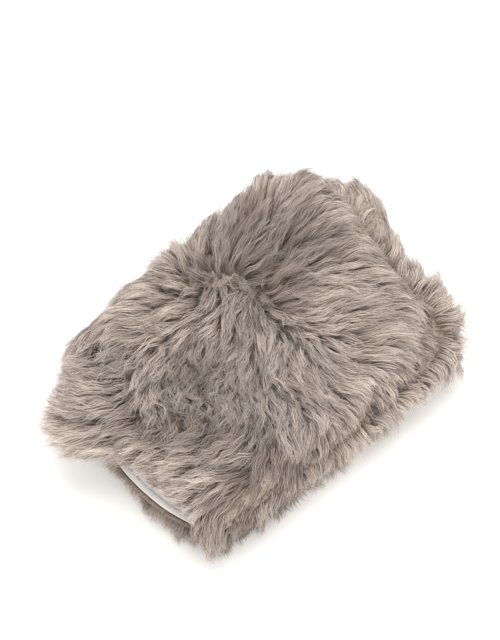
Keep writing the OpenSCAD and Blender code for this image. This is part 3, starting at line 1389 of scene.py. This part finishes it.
@dataclass
class Binding:
    """The tape folded over the mouth edge of one panel's lining.

    Attributes:
        side: name of the face, back or palm.
        prefix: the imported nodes' first word.
        upward: 1 if the tape lies on the upper face of its panel, or -1.
        tape: how thick the tape is, in mm.
        stations: places along the mouth.
    """

    side: str
    prefix: str
    upward: int
    tape: float = 0.5
    stations: int = 160

    def build(self, finishes: Finishes) -> None:
        """Carries the section along the mouth edge, from the left corner to the right one.

        Args:
            finishes: the mitt's materials.
        """
        node = f"{self.prefix}_mouth_binding"
        face, back = levels(node)[:: -self.upward]
        t = self.tape * self.upward
        # Rows of how far inside the hide's edge, and z: over the lining's face, slightly puffed
        # between stitches, round its edge and in under it.
        section = np.array(
            [[5.0, face - t], [5.1, face - 0.5 * t], [4.9, face], [3.0, face + 0.1 * t],
             [1.4, face], [1.0, face - 0.15 * t], [0.8, face - 0.5 * t], [0.72, face - 1.3 * t],
             [0.8, back], [1.3, back], [1.3, face - t]]
        )
        mouth = np.linspace(
            span_of("left_side_hide")[1], span_of("right_side_hide")[0] + TAU, self.stations
        )
        grid = band(Outline.of_node(f"{self.prefix}_hide"), section, mouth)
        closed_form(f"{self.side}_mouth_binding", grid, node, finishes.tape)


@dataclass
class Stitches:
    """A row of separate stitches of one thread, each a short sunken arch.

    Attributes:
        name: name of the piece.
        node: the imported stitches, whose places they take.
        thickness: the thread's radius in mm.
        points: points along a stitch.
        sides: corners of its section.
    """

    name: str
    node: str
    thickness: float = 0.27
    points: int = 7
    sides: int = 6

    def build(self, finishes: Finishes) -> None:
        """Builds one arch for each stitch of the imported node, thinner where it sinks in.

        Args:
            finishes: the mitt's materials.
        """
        ends = self.ends(places_of(self.node))
        t = np.linspace(0, 1, self.points)[None, :, None]
        lines = ends[:, 0:1] * (1 - t) + ends[:, 1:2] * t
        sunken = np.sin(np.linspace(0.12, 0.88, self.points) * math.pi) ** 0.4
        radius = np.broadcast_to(self.thickness * sunken, lines.shape[:2])
        points, faces = tubes(lines, radius, self.sides)
        make_piece(self.name, points, faces, self.node, finishes.thread)

    def ends(self, co: Array) -> Array:
        """The two ends of each stitch.

        Vertices are sorted by heading and split wherever there is a gap between stitches.

        Args:
            co: (n, 3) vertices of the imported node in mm.

        Returns:
            (stitches, 2, 3) places.
        """
        co = np.unique(np.round(co, 3), axis=0)
        heading = np.arctan2(co[:, 1], co[:, 0])
        if (co[:, 0] < 0).all():
            # The row crosses the -X axis, where headings jump, as a mouth's row does.
            heading = heading % TAU
        order = np.argsort(heading)
        co, heading = co[order], heading[order]
        gap = np.diff(heading) * np.hypot(co[1:, 0], co[1:, 1])
        starts = np.concatenate([[0], np.nonzero(gap > STITCH_GAP)[0] + 1, [len(co)]])
        sizes = np.diff(starts)
        label = np.repeat(np.arange(len(sizes)), sizes)
        middle = np.zeros((len(sizes), 3))
        np.add.at(middle, label, co)
        middle /= sizes[:, None]
        tangent = unit(np.stack([-middle[:, 1], middle[:, 0]], -1))
        along = np.sum((co[:, :2] - middle[label, :2]) * tangent[label], -1)
        half = np.zeros(len(sizes))
        np.maximum.at(half, label, np.abs(along))
        flat = level(tangent * half[:, None])
        return np.stack([middle - flat, middle + flat], 1)


@dataclass(frozen=True)
class Strip:
    """The wool of one strip of the side wall.

    Attributes:
        region: where it stands.
        node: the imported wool.
        comb: how it lies.
        count: how many locks.
        droop: how strongly it hangs, from 0 to 1.
    """

    region: Region
    node: str
    comb: Comb | Outwards
    count: int
    droop: float


STRIPS = (
    Strip(Region.RIGHT, "right_side_fleece", Outwards(), 210, 0.9),
    Strip(Region.TIP, "tip_fleece", Comb(TIP_STROKES), 640, 0.1),
    Strip(Region.LEFT, "left_side_fleece", Outwards(), 170, 0.35),
)


@dataclass(frozen=True)
class Fleece:
    """All the wool: underwool and locks on the back, the palm and the wall. Lengths in mm.

    Attributes:
        finishes: the mitt's materials.
        back_lock: a lock of the back.
        guard_hair: a single stiffer hair among them.
        palm_lock: a lock of the palm, pressed flat.
        mouth_lock: a short lock under the palm's mouth edge.
        wall_lock: a lock of the wall.
    """

    finishes: Finishes
    back_lock: Lock = Lock()
    guard_hair: Lock = Lock(length=36, spread=0.5, strands=1, thickness=0.17, root_lift=56,
                            tip_lift=20, wave=1.6, tuft_pull=0, wander=0, points=6)
    palm_lock: Lock = Lock(length=21, spread=3.6, root_lift=30, tip_lift=4, wave=1.4, points=6,
                           strands=8, thickness=0.55, fray=1.5, tuft_pull=0.25)
    mouth_lock: Lock = Lock(length=13, spread=2.2, root_lift=-8, tip_lift=16, wave=0.8, points=6,
                            strands=10, thickness=0.36, fray=1.5, tuft_pull=0.3)
    wall_lock: Lock = Lock(length=23, spread=3.0, root_lift=56, tip_lift=26, points=7,
                           strands=9, thickness=0.44)

    def build(self) -> None:
        """Builds the wool of every region."""
        self.back()
        self.palm()
        for index, strip in enumerate(STRIPS):
            self.wall(strip, seed=41 + index)

    def underwool(self, region: Region, grid: Array, node: str) -> None:
        """Makes the dense wool under the locks of one region."""
        closed_form(f"{region.value}_underwool", grid, node, self.finishes.underwool)

    def back(self) -> None:
        """The long wool on the back of the mitt."""
        node = "top_fleece"
        low, high = levels(node)
        rim_of_wool = Outline.of_node(node)
        hide = Outline.of_node("top_hide")
        edge = rim_of_wool.drawn_in(11, 4).notched(42, 24, 7).wider_of(hide.inset(4.5))
        edge = edge.swelled(43, 13, 8).swelled(138, 9, 4)
        crown = high - 14
        profile = eased_profile(
            [(0.05, low + 0.2), (0.94, low + 0.2), (1.0, low + 4), (0.985, low + 9),
             (0.9, crown - 3.5), (0.7, crown - 1), (0.4, crown), (0.04, crown)]
        )
        self.underwool(
            Region.BACK, self.thinned(rings_over(edge, profile, round_the_clock()), low), node
        )
        rim = int(np.argmax(profile[:, 0] > 0.93))
        grown = self.thinned(rings_over(edge, profile, round_the_clock(closed=True)), low)[rim:]

        def hanging(p: Array) -> Array:
            """Returns how freely the wool hangs: not at all where it's trimmed."""
            return 1 - np.clip(TRIMMED.at(p), 0, 1)[:, None]

        def facing(p: Array) -> Array:
            """Returns normals that turn from upwards to outwards across the edge."""
            lean = smoothstep(0.78, 1.06, edge.share(p[:, :2]))[:, None] * hanging(p)
            return unit(level(unit(p[:, :2])) * lean + UP * (1 - lean))

        def fall(p: Array) -> Array:
            """Returns a fall that sets in at the edge, stronger on the right side."""
            near = 0.35 + 0.65 * smoothstep(70, -40, p[:, 1])
            return (smoothstep(0.9, 1.08, edge.share(p[:, :2])) * near)[:, None] * hanging(p) * 1.3

        reach = rim_of_wool.drawn_in(-4, 4).notched(-35, 17, 10).notched(-62, 16, 8)
        reach = reach.notched(28, 26, -8).notched(68, 9, 13).swelled(42, 13, 9).swelled(138, 8, 6)
        comb = Comb(BACK_STROKES)
        Pile(Region.BACK, Skin(grown), comb, self.back_lock, 2520, facing, fall, reach, seed=11,
             parts=8).build(self.finishes.wool, node)
        Pile(Region.BACK, Skin(grown), comb, self.guard_hair, 1500, facing, fall,
             reach.inset(-1), seed=12, coat=Coat.GUARD).build(self.finishes.wool, node)

    @staticmethod
    def thinned(grid: Array, low: float) -> Array:
        """Makes the back's underwool thinner towards the mouth, with a few swells.

        Args:
            grid: (rings, columns, 3) places in mm.
            low: height of its lower face in mm.

        Returns:
            The places, moved.
        """
        grid = grid.copy()
        share = 1 - 0.55 * smoothstep(-100, -130, grid[..., 0])
        height = grid[..., 2] - low
        swell = 1 + 0.04 * ripples(grid[..., :2], 34, 3)
        grid[..., 2] = low + height * share * swell
        return grid

    def palm(self) -> None:
        """The wool pressed flat under the palm, which shows round its edge."""
        node = "bottom_fleece"
        low, high = levels(node)
        edge = Outline.of_node("bottom_hide").inset(1.5)
        profile = eased_profile(
            [(0.05, low + 3), (0.9, low + 3), (0.97, low + 4.5), (1.0, low + 9), (0.99, high - 1),
             (0.95, high - 0.1), (0.05, high - 0.1)]
        )
        headings = round_the_clock()
        self.underwool(Region.PALM, rings_over(edge, profile, headings), node)
        rim = int(np.argmax(profile[:, 1] > high - 0.8))
        grown = rings_over(edge, profile, round_the_clock(closed=True))[:rim]

        def facing(p: Array) -> Array:
            """Returns normals that face the ground."""
            return np.tile(-UP, (len(p), 1))

        def fall(p: Array) -> Array:
            """Returns no fall, because the wool already lies flat."""
            return np.zeros((len(p), 1))

        reach = Outline.of_node(node).inset(-3).notched(71, 12, 8).notched(0, 60, 5)
        # The palm's wool is coloured darker than the back, as painted shade under the mitt.
        Pile(Region.PALM, Skin(grown), Comb(PALM_STROKES, 26.0), self.palm_lock, 850, facing,
             fall, reach, seed=23, parts=2, painted_shade=0.2).build(self.finishes.wool, node)
        at_mouth = np.cos(headings) < -0.85
        edge_of_mouth = Skin(grown[len(grown) // 2 :, :-1][:, at_mouth])
        # The wool under the mouth's edge is coloured darker still, as painted shade under the locks
        # that hang over it.
        Pile(Region.MOUTH, edge_of_mouth, Outwards(), self.mouth_lock, 260, facing, fall, reach,
             seed=29, painted_shade=0.55).build(self.finishes.wool, node)

    def wall(self, strip: Strip, seed: int) -> None:
        """The wool on one strip of the wall, rounded from edge to edge.

        Args:
            strip: what the strip is like.
            seed: seed of its chance.
        """
        low, high = levels(strip.node)
        inner = Outline.of_node("bottom_hide")
        rim_of_wool = Outline.of_node(strip.node)
        outer = rim_of_wool.inset(8).swelled(30, 7, -5).swelled(10, 9, 4)
        headings = np.linspace(*span_of(strip.node), 120)
        near, far = inner.at(headings)[:, None], outer.at(headings)[:, None]
        angle = np.linspace(-math.pi / 2, math.pi / 2, 15)
        across = np.concatenate([[0.0], np.cos(angle) ** 0.6, [0.0]])
        half = (high - low) / 2 - 0.2
        z = np.concatenate([[low + 0.2], low + 0.2 + half * (1 + np.sin(angle)), [high - 0.2]])
        grid = polar(near + (np.maximum(far, near + 2) - near) * across, headings[:, None], z)
        self.underwool(strip.region, grid, strip.node)

        def facing(p: Array) -> Array:
            """Returns outward normals that tip up over the strip's upper edge."""
            above = smoothstep(high - 7, high + 1, p[:, 2:3])
            close = smoothstep(14, 2, inner.past(p))[:, None]
            return unit(level(unit(p[:, :2])) + (-0.3 + 1.0 * above + 2.6 * above * close) * UP)

        def fall(p: Array) -> Array:
            """Returns the strip's droop everywhere."""
            return np.full((len(p), 1), strip.droop)

        reach = rim_of_wool.inset(-5).notched(70, 13, 20).swelled(30, 7, -7).swelled(10, 9, 8)
        Pile(strip.region, Skin(np.swapaxes(grid, 0, 1)[1:-1]), strip.comb, self.wall_lock,
             strip.count, facing, fall, reach, seed=seed,
             parts=1 + strip.count // 500).build(self.finishes.wool, strip.node)


# ---------------------------------------------------------------- the studio


@dataclass
class Studio:
    """A pale floor, soft light and the camera. Lengths are in metres, angles in degrees.

    Attributes:
        azimuth: the camera's turn round the mitt, from the -Y side towards +X.
        elevation: its angle above the floor.
        target: what it looks at.
        lens: its focal length in mm.
        distance: how far it stands from the target.
        floor_side: the floor's width.
        room: strength of the even light from all round.
    """

    azimuth: float = -40.0
    elevation: float = 60.0
    target: tuple[float, float, float] = (0.020, 0.036, 0.0)
    lens: float = 85.0
    distance: float = 1.095
    floor_side: float = 12.0
    room: float = 0.92

    def build(self) -> None:
        """Builds the floor, the lights and the camera."""
        self.floor()
        self.lights()
        self.camera()

    def floor(self) -> None:
        """A pale floor under the mitt."""
        side = self.floor_side / 2
        mesh = bpy.data.meshes.new("floor")
        mesh.from_pydata([(-side, -side, 0), (side, -side, 0), (side, side, 0), (-side, side, 0)],
                         [], [(0, 1, 2, 3)])
        mesh.materials.append(PaperFinish().build())
        floor = bpy.data.objects.new("floor", mesh)
        bpy.context.collection.objects.link(floor)

    def lights(self) -> None:
        """A bright even room, a large soft key light and a fill from the right."""
        world = bpy.data.worlds.new("room")
        bpy.context.scene.world = world
        world.use_nodes = True
        background = world.node_tree.nodes["Background"]
        background.inputs["Color"].default_value = srgb("#FFFEFC")
        background.inputs["Strength"].default_value = self.room
        for name, place, size, power in (
            ("key", (0.4, 0.6, 1.8), 1.8, 22.0),
            ("fill", (-0.45, -1.25, 1.0), 1.6, 11.0),
        ):
            data = bpy.data.lights.new(name, "AREA")
            data.size = size
            data.energy = power
            light = bpy.data.objects.new(name, data)
            light.location = place
            self.aim(light, -Vector(place))

    def camera(self) -> None:
        """The camera, from the mouth end and the right side, looking down."""
        a, e = math.radians(self.azimuth), math.radians(self.elevation)
        back = Vector((math.sin(a) * math.cos(e), -math.cos(a) * math.cos(e), math.sin(e)))
        data = bpy.data.cameras.new("camera")
        data.lens = self.lens
        camera = bpy.data.objects.new("camera", data)
        camera.location = Vector(self.target) + back * self.distance
        self.aim(camera, -back)
        bpy.context.scene.camera = camera
        bpy.context.scene.view_settings.view_transform = "Standard"

    @staticmethod
    def aim(thing: bpy.types.Object, ahead: Vector) -> None:
        """Puts a light or the camera in the scene.

        Args:
            thing: the light or the camera, at its place.
            ahead: the way that it looks.
        """
        thing.rotation_mode = "QUATERNION"
        thing.rotation_quaternion = ahead.to_track_quat("-Z", "Y")
        bpy.context.collection.objects.link(thing)


def main() -> None:
    """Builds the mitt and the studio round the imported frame."""
    logging.basicConfig(level=logging.INFO, format="%(name)s %(message)s")
    Studio().build()
    finishes = Finishes()
    walls = ("right_wall_hide", "tip_wall_hide", "left_wall_hide")
    Panel("palm", "bottom", ("palm_underwool",), "laid").build(finishes)
    Wall().build(finishes)
    Panel("back", "top", walls, "stretched").build(finishes)
    Binding("back", "top", -1).build(finishes)
    Binding("palm", "bottom", 1).build(finishes)
    for name, node in (
        ("back_seam_stitches", "top_seam_stitches"),
        ("palm_seam_stitches", "bottom_seam_stitches"),
        ("back_binding_stitches", "top_binding_stitches"),
        ("palm_binding_stitches", "bottom_binding_stitches"),
    ):
        Stitches(name, node).build(finishes)
    Fleece(finishes).build()


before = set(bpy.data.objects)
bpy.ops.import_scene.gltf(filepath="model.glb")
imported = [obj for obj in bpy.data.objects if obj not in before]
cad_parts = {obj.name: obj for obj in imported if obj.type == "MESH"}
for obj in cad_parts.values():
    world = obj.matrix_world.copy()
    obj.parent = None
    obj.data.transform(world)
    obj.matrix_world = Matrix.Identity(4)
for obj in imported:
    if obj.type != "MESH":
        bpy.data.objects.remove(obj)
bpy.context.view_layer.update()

if __name__ == "__main__":
    main()
